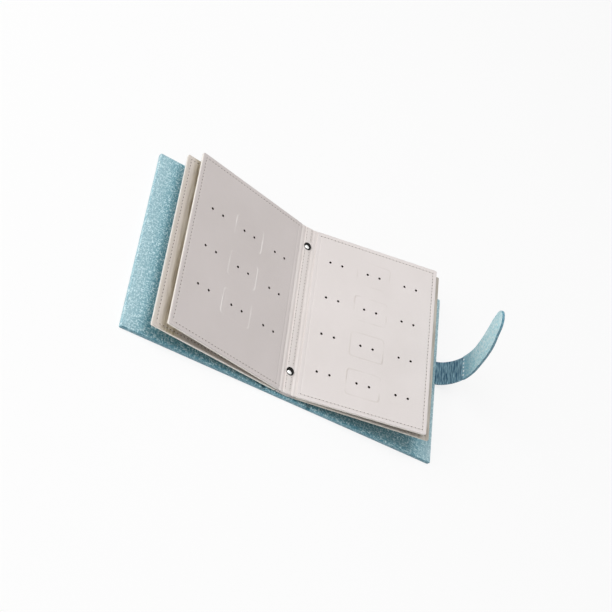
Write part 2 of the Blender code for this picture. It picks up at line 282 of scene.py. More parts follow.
def cut_lines(bm: BMesh, places: list[float], axis: int = 0) -> None:
    """Cut new edge lines across the mesh.

    Args:
        bm: the mesh.
        places: where the cuts lie along the axis.
        axis: 0 for x and 1 for y.
    """
    normal = Vector((0, 0, 0))
    normal[axis] = 1
    for place in places:
        geometry = bm.verts[:] + bm.edges[:] + bm.faces[:]
        bmesh.ops.bisect_plane(bm, geom=geometry, dist=FINE, plane_co=normal * place, plane_no=normal)


def record_rest(bm: BMesh) -> None:
    """Store every point's place on the still flat piece, for the materials' patterns.

    Args:
        bm: the mesh.
    """
    layer = bm.verts.layers.float_vector.new(REST)
    for vert in bm.verts:
        vert[layer] = vert.co


def lay_on_leaf(bm: BMesh, letter: str, joint: str, lift: float) -> Matrix:
    """Record the flat mesh, then turn it to a leaf's slope and move it to a joint's axis.

    Args:
        bm: the mesh.
        letter: the leaf, whose slope its two CAD faces give.
        joint: name of the joint.
        lift: how far the mesh's zero height lies above the axis.

    Returns:
        The turn and place.
    """
    record_rest(bm)
    lift_mesh(bm, lift)
    boxes = [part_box("leaf_%s_%s" % (letter, name)) for name in ("face", "back")]
    face, back = ((low + high) / 2 for low, high in boxes)
    up = (face - back).normalized()
    turn = Matrix(((up.z, 0, -up.x), (0, 1, 0), up)).transposed().to_4x4()
    axis = next(row["pos_m"] for row in frame["joints"] if row["name"] == joint)
    plane = Matrix.Translation(axis) @ turn
    bm.transform(plane)
    return plane


def make_piece(bm: BMesh, name: str, finishes: list[Material], replaced: tuple[str, ...] = (),
               sharp: float = 38.0) -> Object:
    """Turn a finished bmesh into an object at the origin.

    Args:
        bm: the mesh, freed here.
        name: name of the piece.
        finishes: its materials, in the order of the faces' material numbers.
        replaced: the CAD nodes that it stands for.
        sharp: edges that turn by more than this many degrees stay sharp.

    Returns:
        The object, linked to the scene.
    """
    bmesh.ops.remove_doubles(bm, verts=bm.verts, dist=SAME)
    bmesh.ops.recalc_face_normals(bm, faces=bm.faces)
    mesh = bpy.data.meshes.new(name)
    bm.to_mesh(mesh)
    bm.free()
    for finish in finishes:
        mesh.materials.append(finish)
    mesh.shade_smooth()
    mesh.set_sharp_from_angle(angle=math.radians(sharp))
    piece = bpy.data.objects.new(name, mesh)
    bpy.context.scene.collection.objects.link(piece)
    if replaced:
        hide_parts(*replaced)
    return piece


def ride(piece: Object, body: str) -> None:
    """Let a piece move with one body, and report it."""
    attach(piece, body)
    LOG.info("%s: %d faces, rides on %s", piece.name, len(piece.data.polygons), body)


def blend(piece: Object, first: str, second: str) -> None:
    """Bake a piece's place into its mesh, and report it with the two bodies that it lies between."""
    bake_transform(piece)
    LOG.info("%s: %d faces, bends from %s to %s", piece.name, len(piece.data.polygons), first, second)


@dataclass(frozen=True)
class Stitch:
    """One stitch as a bead, by its half sizes, and its needle hole as a flat disc."""

    length: float
    width: float
    height: float
    hole: float = 0.0            # radius
    depth: float = 0.0

    def sew(self, bm: BMesh, place: Point, turn: float, material: int = 0) -> None:
        """Add the thread.

        Args:
            bm: the mesh that gets it.
            place: its middle.
            turn: its direction, from the x axis.
            material: material number of its faces.
        """
        lying = Matrix.Diagonal((self.length, self.width, self.height, 1)) @ Matrix.Rotation(-math.pi / 2, 4, "Y")
        matrix = Matrix.Translation(place) @ Matrix.Rotation(turn, 4, "Z") @ lying
        bead = bmesh.new()
        bmesh.ops.create_uvsphere(bead, u_segments=6, v_segments=5, radius=1.0, matrix=matrix)
        self.add(bm, bead, material)

    def pierce(self, bm: BMesh, place: Point) -> None:
        """Add the needle hole, with material number 1.

        Args:
            bm: the mesh that gets it.
            place: its middle.
        """
        matrix = Matrix.Translation(place) @ Matrix.Diagonal((self.hole, self.hole, self.depth, 1))
        disc = bmesh.new()
        bmesh.ops.create_cone(disc, cap_ends=True, segments=7, radius1=1.0, radius2=0.9, depth=1.0, matrix=matrix)
        self.add(bm, disc, 1)

    @staticmethod
    def add(bm: BMesh, shape: BMesh, material: int) -> None:
        """Add a small shape, made on its own because operators are slow in a large mesh.

        Args:
            bm: the mesh that gets it.
            shape: the shape, freed here.
            material: material number of its faces.
        """
        for face in shape.faces:
            face.material_index = material
        mesh = bpy.data.meshes.new("stitch")
        shape.to_mesh(mesh)
        shape.free()
        bm.from_mesh(mesh)
        bpy.data.meshes.remove(mesh)


# Finishes

@dataclass(frozen=True)
class Finish:
    """What every finish shares: a named material whose pattern feeds one principled shader."""

    name: str

    def pattern(self, tree: NodeTree) -> tuple[dict, dict]:
        """Draw the finish's own pattern.

        Args:
            tree: the material's node tree.

        Returns:
            The shader's values, and what feeds its inputs.
        """
        raise NotImplementedError

    def material(self) -> Material:
        """Build the material.

        Returns:
            The material, whose shader takes the pattern.
        """
        material = bpy.data.materials.new(self.name)
        tree = clear_tree(material)
        shader = add_node(tree, "BsdfPrincipled", *self.pattern(tree))
        add_node(tree, "OutputMaterial", links={"Surface": shader})
        return material


@dataclass(frozen=True)
class CoverLeatherette(Finish):
    """Blue PU leatherette with a pressed linen grain: short pale dashes along and across the cover."""

    ground: str
    raised: str
    deep: str
    thread: float = 0.8 * MM     # one pressed thread, drawn about twice too wide so that it shows
    dash: float = 2.8 * MM       # length of a dash
    depth: float = 0.16 * MM
    drift: float = 40 * MM       # size of the slow changes of tone
    painted_shading_span: Span | None = None     # distances along it between which another tone comes in: painted shading, paler or darker as light or shade would make it
    rubbed: str = ""             # that tone, where it isn't the dashes' own
    painted_shading_share: float = 0.35           # and how strong it gets

    def pattern(self, tree: NodeTree) -> tuple[dict, dict]:
        """Draw dashes in colour and bump, slow changes of tone, and painted shading along the piece.

        Args:
            tree: the material's node tree.

        Returns:
            The shader's values, and what feeds its inputs.
        """
        rest = add_node(tree, "Attribute", {"attribute_name": REST}).outputs["Vector"]
        dashes = []
        for along, across in ((self.dash, self.thread), (self.thread, self.dash)):
            stretch = add_node(tree, "Mapping", {"Scale": (1 / along, 1 / across, 1 / self.thread)}, {"Vector": rest})
            dashes.append(add_node(tree, "TexNoise", {"Scale": 1.0, "Detail": 1.5, "Roughness": 0.55},
                                   {"Vector": stretch}))
        top = add_node(tree, "Math", {"operation": "MAXIMUM"}, dict(enumerate(dashes)))
        high = add_node(tree, "MapRange", SMOOTH | {"From Min": 0.54, "From Max": 0.72}, {"Value": top})
        low = add_node(tree, "MapRange", SMOOTH | {"From Min": 0.58, "From Max": 0.46, "To Max": 0.9}, {"Value": top})
        slow = add_node(tree, "TexNoise", {"Scale": 1 / self.drift, "Detail": 4.0, "Roughness": 0.6}, {"Vector": rest})
        tone = add_node(tree, "Mix", COLOURS | {UNDER: linear(self.deep), OVER: linear(self.ground)}, {0: slow})
        tone = add_node(tree, "Mix", COLOURS | {UNDER: linear(self.ground)}, {0: slow, OVER: tone})
        for colour, share in ((self.deep, low), (self.raised, high)):
            tone = add_node(tree, "Mix", COLOURS | {OVER: linear(colour)}, {0: share, UNDER: tone})
        # Painted shading: another tone along the piece, paler by the cover's fore edge as painted light and darker by
        # the strap's seam as painted shade.
        if self.painted_shading_span:
            tone = reach_tone(tree, rest, tone, self.rubbed or self.raised, self.painted_shading_span, self.painted_shading_share)
        bump = add_node(tree, "Bump", {"Strength": 0.7, "Distance": self.depth}, {"Height": top})
        return ({"Roughness": 0.5, "Specular IOR Level": 0.45, "Sheen Weight": 0.12, "Sheen Roughness": 0.5},
                {"Base Color": tone, "Normal": bump})


@dataclass(frozen=True)
class StrapWebbing(Finish):
    """Woven polyester webbing: fine ribs across the strap, dark blue with lighter threads."""

    thread: str
    shadow: str
    rib: float = 2.4 * MM        # two ribs drawn as one, so that they show
    warp: float = 1.1 * MM
    fleck: Point = (0.8 * MM, 8 * MM, 1 * MM)    # size of the lighter threads along, across and through the strap

    def pattern(self, tree: NodeTree) -> tuple[dict, dict]:
        """Draw ribs across the strap, broken by the warp threads.

        Args:
            tree: the material's node tree.

        Returns:
            The shader's values, and what feeds its inputs.
        """
        rest = add_node(tree, "Attribute", {"attribute_name": REST}).outputs["Vector"]
        ribs = add_node(tree, "TexWave", {"bands_direction": "X", "Scale": WAVE / self.rib, "Distortion": 0.8,
                                          "Detail": 2.0, "Detail Scale": 2.5}, {"Vector": rest})
        warp = add_node(tree, "TexWave", {"bands_direction": "Y", "Scale": WAVE / self.warp, "Distortion": 0.5},
                        {"Vector": rest})
        weave = add_node(tree, "Math", {"operation": "MULTIPLY"}, {0: ribs.outputs["Fac"], 1: warp.outputs["Fac"]})
        stretch = add_node(tree, "Mapping", {"Scale": tuple(1 / size for size in self.fleck)}, {"Vector": rest})
        fleck = add_node(tree, "TexNoise", {"Scale": 1.0, "Detail": 2.0}, {"Vector": stretch})
        fleck = add_node(tree, "MapRange", SMOOTH | {"From Min": 0.42, "From Max": 0.68, "To Max": 0.9},
                         {"Value": fleck})
        share = add_node(tree, "Math", {"operation": "MULTIPLY_ADD", 1: 0.55}, {0: weave, 2: fleck})
        tone = add_node(tree, "Mix", COLOURS | {UNDER: linear(self.shadow), OVER: linear(self.thread)}, {0: share})
        bump = add_node(tree, "Bump", {"Strength": 0.9, "Distance": 0.3 * MM}, {"Height": weave})
        return ({"Roughness": 0.78, "Sheen Weight": 0.15, "Sheen Roughness": 0.4},
                {"Base Color": tone, "Normal": bump})


@dataclass(frozen=True)
class PressedOutline:
    """The faint rounded frames that earring backs leave round the stud pairs of one column."""

    column: float                # middle of the column, from the leaf's fold axis
    rows: int
    pitch: float
    # pale for painted highlight on the frames' lines, dark for painted shade
    painted_light_tint: str
    strength: float
    level: float                 # share of that strength on the lines across; the upright lines, which catch the light, take it all as painted light
    half_width: float = 14 * MM
    half_height: float = 11 * MM
    corner: float = 5 * MM
    line: Span = (0.9 * MM, 0.1 * MM)    # distances from its middle where a line starts and where it is full
    turn: float = 2 * MM         # half width of the change from an upright to a level line
    patch: float = 17 * MM       # size of the patches where the frames show

    def mask(self, tree: NodeTree, rest: NodeSocket) -> Node:
        """Draw the pressed frames as a value between 0 and 1.

        Args:
            tree: the material's node tree.
            rest: the flat piece's coordinates.

        Returns:
            The node that gives the value.
        """
        parts = add_node(tree, "SeparateXYZ", links={0: rest})
        out = add_node(tree, "Math", {"operation": "ABSOLUTE"}, {0: parts})
        start = self.rows * self.pitch / 2
        up = add_node(tree, "Math", {"operation": "ADD", 1: start}, {0: parts.outputs[1]})
        inside = add_node(tree, "Math", {"operation": "COMPARE", 1: start, 2: start}, {0: up})
        row = add_node(tree, "Math", {"operation": "FLOORED_MODULO", 1: self.pitch}, {0: up})
        beyond = []
        for value, middle, half in ((out, self.column, self.half_width), (row, self.pitch / 2, self.half_height)):
            away = add_node(tree, "Math", {"operation": "SUBTRACT", 1: middle}, {0: value})
            away = add_node(tree, "Math", {"operation": "ABSOLUTE"}, {0: away})
            beyond.append(add_node(tree, "Math", {"operation": "SUBTRACT", 1: half}, {0: away}))
        both = dict(enumerate(beyond))
        line = add_node(tree, "Math", {"operation": "SMOOTH_MAX", 2: self.corner}, both)
        line = add_node(tree, "Math", {"operation": "ABSOLUTE"}, {0: line})
        line = add_node(tree, "MapRange", SMOOTH | {"From Min": self.line[0], "From Max": self.line[1]},
                        {"Value": line})
        # Painted light: the upright lines, which catch the light, show more than the lines across.
        lean = add_node(tree, "Math", {"operation": "SUBTRACT"}, both)
        upright = add_node(tree, "MapRange", {"From Min": -self.turn, "From Max": self.turn, "To Min": self.level},
                           {"Value": lean})
        patch = add_node(tree, "TexNoise", {"Scale": 1 / self.patch, "Detail": 1.0}, {"Vector": rest})
        patch = add_node(tree, "MapRange", {"From Min": 0.38, "From Max": 0.6}, {"Value": patch})
        for share in (inside, upright, patch):
            line = add_node(tree, "Math", {"operation": "MULTIPLY"}, {0: line, 1: share})
        return line


@dataclass(frozen=True)
class LeafLeatherette(Finish):
    """Ivory PU leatherette, smooth with a very fine grain, a dull gloss and soft changes of tone."""

    ground: str
    shade: str
    wrinkles: float = 0.0        # how strongly the upright wrinkles of a covered leaf show, in relief and in their painted shade and highlight
    strip: str = ""              # painted shade: darker tone of the strip that the leaf on top leaves open and shades
    rim: str = ""                # tone by the fore edge, where it differs
    outline: PressedOutline | None = None
    grain: float = 0.9 * MM
    speck: float = 1.6 * MM
    wave: float = 26 * MM
    drift: float = 55 * MM
    strip_span: Span = (86 * MM, 97 * MM)        # distances from the fold axis between which each one comes in
    wrinkle_span: Span = (88 * MM, 99 * MM)
    rim_span: Span = (102 * MM, 109.5 * MM)
    edge_share: float = 0.9      # how far the strip's and the rim's tone cover the ground
    wrinkle: Point = (2.2 * MM, 26 * MM, 2.2 * MM)
    # A dark tint as painted shade and a pale one as painted highlight along the wrinkles, with where each starts and
    # is full.
    wrinkle_shade_and_highlight: tuple[tuple[str, float, float], ...] = (("85775E", 0.5, 0.62), ("E4DDCD", 0.5, 0.4))
    wave_relief: float = 6.0     # heights, as multiples of the grain's
    wrinkle_relief: float = 5.0
    outline_relief: float = 3.5

    def pattern(self, tree: NodeTree) -> tuple[dict, dict]:
        """Draw fine grain and soft waves, then the strip's painted shade, the wrinkles with their painted shade and
        highlight, the pressed frames with their painted tint, and the rim where the leaf has them.

        Args:
            tree: the material's node tree.

        Returns:
            The shader's values, and what feeds its inputs.
        """
        rest = add_node(tree, "Attribute", {"attribute_name": REST}).outputs["Vector"]
        slow = add_node(tree, "TexNoise", {"Scale": 1 / self.drift, "Detail": 3.0}, {"Vector": rest})
        slow = add_node(tree, "MapRange", {"From Min": 0.3, "From Max": 0.7}, {"Value": slow})
        speck = add_node(tree, "TexNoise", {"Scale": 1 / self.speck, "Detail": 4.0, "Roughness": 0.65},
                         {"Vector": rest})
        share = add_node(tree, "Math", {"operation": "MULTIPLY_ADD", 1: 0.5}, {0: speck, 2: slow})
        share = add_node(tree, "Math", {"operation": "MULTIPLY", 1: 0.55}, {0: share})
        tone = add_node(tree, "Mix", COLOURS | {UNDER: linear(self.ground), OVER: linear(self.shade)}, {0: share})
        grain = add_node(tree, "TexVoronoi", {"feature": "SMOOTH_F1", "Scale": 1 / self.grain, "Smoothness": 0.6},
                         {"Vector": rest})
        waves = add_node(tree, "TexNoise", {"Scale": 1 / self.wave, "Detail": 1.0}, {"Vector": rest})
        height = add_node(tree, "Math", {"operation": "MULTIPLY_ADD", 1: self.wave_relief}, {0: waves, 2: grain})
        # Painted shade of the leaf on top, on the strip that it leaves open.
        if self.strip:
            tone = reach_tone(tree, rest, tone, self.strip, self.strip_span, self.edge_share)
        if self.wrinkles:
            stretch = add_node(tree, "Mapping", {"Scale": tuple(1 / size for size in self.wrinkle)}, {"Vector": rest})
            folds = add_node(tree, "TexNoise", {"Scale": 1.0, "Detail": 3.0, "Roughness": 0.55}, {"Vector": stretch})
            where = reach_mask(tree, rest, self.wrinkle_span, self.wrinkles)
            # Painted shade in the wrinkles' folds and painted highlight on their crests.
            for colour, start, end in self.wrinkle_shade_and_highlight:
                streak = add_node(tree, "MapRange", SMOOTH | {"From Min": start, "From Max": end}, {"Value": folds})
                streak = add_node(tree, "Math", {"operation": "MULTIPLY"}, {0: streak, 1: where})
                tone = add_node(tree, "Mix", COLOURS | {OVER: linear(colour)}, {0: streak, UNDER: tone})
            height = add_node(tree, "Math", {"operation": "MULTIPLY_ADD", 1: self.wrinkle_relief * self.wrinkles},
                              {0: folds, 2: height})
        if self.outline:
            mask = self.outline.mask(tree, rest)
            share = add_node(tree, "Math", {"operation": "MULTIPLY", 1: self.outline.strength}, {0: mask})
            tone = add_node(tree, "Mix", COLOURS | {OVER: linear(self.outline.painted_light_tint)}, {0: share, UNDER: tone})
            height = add_node(tree, "Math", {"operation": "MULTIPLY_ADD", 1: self.outline_relief},
                              {0: mask, 2: height})
        if self.rim:
            tone = reach_tone(tree, rest, tone, self.rim, self.rim_span, self.edge_share)
        bump = add_node(tree, "Bump", {"Strength": 0.5, "Distance": 0.09 * MM}, {"Height": height})
        return {"Roughness": 0.46, "Specular IOR Level": 0.4}, {"Base Color": tone, "Normal": bump}


@dataclass(frozen=True)
class PlainFinish(Finish):
    """A finish of one ground colour broken by a fine noise, for edges, thread, board and plating."""

    ground: str
    shade: str
    grain: float                 # size of the noise
    roughness: float
    metallic: float = 0.0
    relief: float = 0.02 * MM
    specular: float = 0.5

    def pattern(self, tree: NodeTree) -> tuple[dict, dict]:
        """Draw a noise in colour, gloss and bump.

        Args:
            tree: the material's node tree.

        Returns:
            The shader's values, and what feeds its inputs.
        """
        place = add_node(tree, "TexCoord").outputs["Object"]
        noise = add_node(tree, "TexNoise", {"Scale": 1 / self.grain, "Detail": 4.0, "Roughness": 0.6},
                         {"Vector": place})
        tone = add_node(tree, "Mix", COLOURS | {UNDER: linear(self.ground), OVER: linear(self.shade)}, {0: noise})
        gloss = add_node(tree, "MapRange", {"To Min": self.roughness * 0.85, "To Max": self.roughness * 1.2},
                         {"Value": noise})
        bump = add_node(tree, "Bump", {"Strength": 0.4, "Distance": self.relief}, {"Height": noise})
        return ({"Metallic": self.metallic, "Specular IOR Level": self.specular},
                {"Base Color": tone, "Roughness": gloss, "Normal": bump})


class Wardrobe:
    """Every finish of the book, built once."""

    def __init__(self, pitch: float, column: float) -> None:
        """Build the materials.

        Args:
            pitch: distance between two rows of stud pairs.
            column: middle of a leaf's middle column, from its fold axis.
        """
        # Embossed PU leatherette: a matt light blue crossed by short pale dashes, paler by the fore edge as painted
        # light.
        self.cover = CoverLeatherette("embossed_pu_leatherette_blue", "80B1BC", "CFE6EB", "4A8698",
                                      painted_shading_span=(118 * MM, 138 * MM)).material()
        # A paler copy for the cover's fore-edge sides as painted highlight, and a darker one for its head and tail
        # sides as painted shade.
        self.cover_rim = CoverLeatherette("embossed_pu_leatherette_rubbed", "B6DAE1", "E4F3F6", "82B5C3").material()
        self.cover_tail = CoverLeatherette("embossed_pu_leatherette_turned", "6E9FAE", "A6CAD3", "4F8395").material()
        # The lining's cut edge: a darker ring as painted shade, where the step down to the turn-in would shade it.
        self.cover_seam = CoverLeatherette("embossed_pu_leatherette_glued_edge", "5688A0", "7FAEBF",
                                           "3D7188").material()
        # The strap: the same leatherette, lighter on the inner face and darker towards its seam as painted shade; the
        # darker back tone on the tongue's sides is painted shade too.
        self.strap_lining = CoverLeatherette("embossed_pu_leatherette_strap", "D2F8FD", "F6FFFF", "9AD6E2",
                                             dash=2.2 * MM, painted_shading_span=(66 * MM, 43 * MM), rubbed="4F8FA6",
                                             painted_shading_share=0.62).material()
        self.strap_outer = CoverLeatherette("embossed_pu_leatherette_strap_back", "6699AB", "93BFCC",
                                            "457B90").material()
        # Polyester webbing: a dark, dull blue crossed by fine ribs.
        self.webbing = StrapWebbing("woven_polyester_webbing", "9CC4D3", "2F5F7A").material()
        # Smooth PU leatherette: ivory with a pinkish grey cast and a soft gloss, wrinkled on the lower leaves.
        # Painted shade: leaves A, B and D take the same ivory as leaf C, set darker.
        self.leaves = {finish.name[-1]: finish.material() for finish in (
            LeafLeatherette("smooth_pu_leatherette_leaf_a", "D3CBC9", "C8C0BD",
                            outline=PressedOutline(column, 3, pitch, "FFFBF8", 0.5, 0.05)),
            # Leaf B: khaki strip as painted shade of leaf A, wrinkle tints as painted shade and highlight, and a paler
            # rim by the fore edge where that painted shade ends.
            LeafLeatherette("smooth_pu_leatherette_leaf_b", "CDC5BB", "BFB5A8", 0.6, strip="BFB398", rim="D3CBC4"),
            LeafLeatherette("smooth_pu_leatherette_leaf_c", "E1DAD8", "D8D1CE",
                            outline=PressedOutline(column, 4, pitch, "B9AFA4", 0.35, 0.6)),
            LeafLeatherette("smooth_pu_leatherette_leaf_d", "C4BEB5", "B0A99F", 0.3))}
        self.band = LeafLeatherette("smooth_pu_leatherette_band", "E4DDDA", "D8D0CC").material()
        # Folded leatherette edge, painted with a cream edge coat that is glossier than the faces.
        self.edge = PlainFinish("cream_edge_coat", "FBF7F0", "EFE8DE", 3 * MM, 0.35).material()
        # Leaf D's edge: the same coat set darker, as painted shade under leaf C.
        self.lower_edge_shade = PlainFinish("cream_edge_coat_rubbed", "DCD6CC", "C8C0B5", 3 * MM, 0.45).material()
        # Bonded polyester thread: dull, twisted too finely to show; off-white, white and blue.
        self.thread, self.pale_thread, self.blue_thread = (
            PlainFinish("bonded_polyester_thread" + kind, ground, shade, 0.6 * MM, 0.6).material()
            for kind, ground, shade in (("", "D2CBC6", "BEB6B0"), ("_pale", "FFFFFF", "E9F0F2"),
                                        ("_blue", "D3ECF0", "A5CDD6")))
        # The needle holes and punched walls are raw core board in shade.
        self.needle, self.deep_needle, self.soft_needle = (
            PlainFinish("pierced_" + kind, ground, shade, 0.8 * MM, 0.9, specular=0.1).material()
            for kind, ground, shade in (("leatherette", "746B65", "5E5650"), ("core_shade", "70675F", "574E48"),
                                        ("leatherette_pale", "B0A8A3", "99918C")))
        self.punched = PlainFinish("punched_core_board", "4F463F", "3A322C", 0.6 * MM, 0.9, specular=0.1).material()
        # Plated steel, near black as painted dark reflection, with a bright patch off the dome's middle as a painted
        # glint.
        self.nickel = PlainFinish("black_nickel_plate", "2C2C2B", "1C1C1B", 4 * MM, 0.14, metallic=1.0,
                                  relief=0.004 * MM).material()
        self.crown = PlainFinish("polished_nickel_crown", "F4F4F2", "E2E2E0", 2 * MM, 0.1, metallic=1.0,
                                 relief=0.004 * MM).material()
        # Grey chipboard: dull, with short fibres.
        self.board = PlainFinish("grey_chipboard", "8F8C86", "75716A", 1.5 * MM, 0.9, specular=0.2).material()
        # Nickel plated magnets: a plain grey metal, duller than the rivets.
        self.magnet = PlainFinish("nickel_plated_magnet", "8C8E90", "6E7072", 3 * MM, 0.3, metallic=1.0).material()


# Sub-assemblies

@dataclass
class CoverHalf:
    """Half of the case: one cover, its fold and half of the spine, in one wrapped piece with its lining."""

    side: Side
    reach: float = 139.5 * MM
    half_height: float = 77.5 * MM
    thickness: float = 3.75 * MM     # wrap alone, without the lining on top
    lining: float = 0.35 * MM
    bedding: float = 0.02 * MM       # how far the lining lies in the wrap
    corner: float = 1.1 * MM
    rim: float = 0.85 * MM
    turn_in: float = 2.4 * MM        # width of the wrap that shows round the lining
    # width of the lining's edge ring that is darkened as painted shade
    glued_edge: float = 0.8 * MM
    groove: Span = (18.2 * MM, 22.85 * MM)       # between the spine's board and the cover's
    first_give: float = 0.2 * MM     # groove's edge to the start of the bend
    shoulder: float = 1.0 * MM
    hollow: float = 0.35 * MM        # how far the groove's underside lies off the table
    floor: float = 1.5 * MM          # height of the groove's bottom
    upright: float = 0.98            # faces whose normal points up less than this are the wrap's sides
    steps: tuple[float, ...] = (18.2, 18.4, 18.6, 18.8, 19.0, 19.2, 19.6, 20.0, 20.5, 21.0, 21.4, 21.85,
                                22.05, 22.25, 22.45, 22.65, 22.85)       # mm from the middle to the groove's cuts

    def start(self, bm: BMesh, inset: float) -> None:
        """Start a flat plate of this half, rounded at the fore edge.

        Args:
            bm: the mesh that gets it.
            inset: how far it stays inside the wrap's outline.
        """
        reach, half = self.reach - inset, self.half_height - inset
        start_plate(bm, *self.side.span(0.0, reach), -half, half)
        corners = [v for v in bm.verts if abs(abs(v.co.x) - reach) < SAME]
        round_off(bm, corners, self.corner, 5, "VERTICES")

    def press_groove(self, bm: BMesh) -> None:
        """Press the fold's groove into a finished plate, thinning it smoothly.

        Args:
            bm: the plate.
        """
        cut_lines(bm, [self.side.value * step * MM for step in self.steps])
        top = self.thickness + self.lining
        for vert in bm.verts:
            out = abs(vert.co.x)
            share = ease(min(out - self.groove[0], self.groove[1] - out) / self.shoulder)
            lift = self.hollow * share
            full = vert.co.z
            vert.co.z = full + share * (lift + full * (self.floor - lift) / top - full)

    def finish(self, bm: BMesh, part: str, finishes: list[Material], node: str) -> None:
        """Press the groove, make the piece and bake its place.

        Args:
            bm: the finished plate.
            part: the piece's name after the cover's.
            finishes: its materials.
            node: the spine's and the cover's CAD node that it stands for, by their last word.
        """
        record_rest(bm)
        self.press_groove(bm)
        cover = "front" if self.side is Side.LEFT else "back"
        piece = make_piece(bm, cover + "_cover_" + part, finishes,
                           (cover + "_" + node, "spine_" + node))
        blend(piece, "spine", cover + "_cover")

    def rounded_rim(self, bm: BMesh, lowest: float) -> list[BMEdge]:
        """Find the edges that a plate's rim rounds, which leaves out the side where the two halves meet.

        Args:
            bm: the plate.
            lowest: no edge below this height is taken.

        Returns:
            The edges.
        """
        bm.normal_update()
        return [e for e in level_edges(bm) if min(v.co.z for v in e.verts) >= lowest
                and e.calc_face_angle(0) > 1 and max(abs(v.co.x) for v in e.verts) > SAME]

    def build_wrap(self, finishes: list[Material]) -> None:
        """Build the wrapped boards.

        Args:
            finishes: the leatherette, a paler copy for the fore-edge sides as painted highlight, and a darker copy for
                the head and tail sides as painted shade.
        """
        bm = bmesh.new()
        self.start(bm, 0.0)
        thicken(bm, self.thickness)
        round_off(bm, self.rounded_rim(bm, 0.0), self.rim, 4)
        bm.normal_update()
        # Painted highlight and shade: sides facing along x take the paler copy, sides facing along y the darker one.
        for face in bm.faces:
            if abs(face.normal.z) < self.upright:
                face.material_index = 1 if abs(face.normal.x) > abs(face.normal.y) else 2
        self.finish(bm, "wrap", finishes, "skin")

    def build_lining(self, finishes: list[Material]) -> None:
        """Build the lining glued inside the turned edge.

        Args:
            finishes: the lining's leatherette, and the darker ring round its edge, which is painted shade.
        """
        bm = bmesh.new()
        self.start(bm, self.turn_in)
        # Painted shade: the ring round the lining's edge takes the darker copy.
        ring = bmesh.ops.inset_region(bm, faces=bm.faces[:], thickness=self.glued_edge, use_even_offset=True)
        for face in ring["faces"]:
            face.material_index = 1
        thicken(bm, self.lining)
        round_off(bm, self.rounded_rim(bm, self.lining / 2), self.lining / 2, 2)
        lift_mesh(bm, self.thickness - self.bedding)
        self.finish(bm, "lining", finishes, "lining")


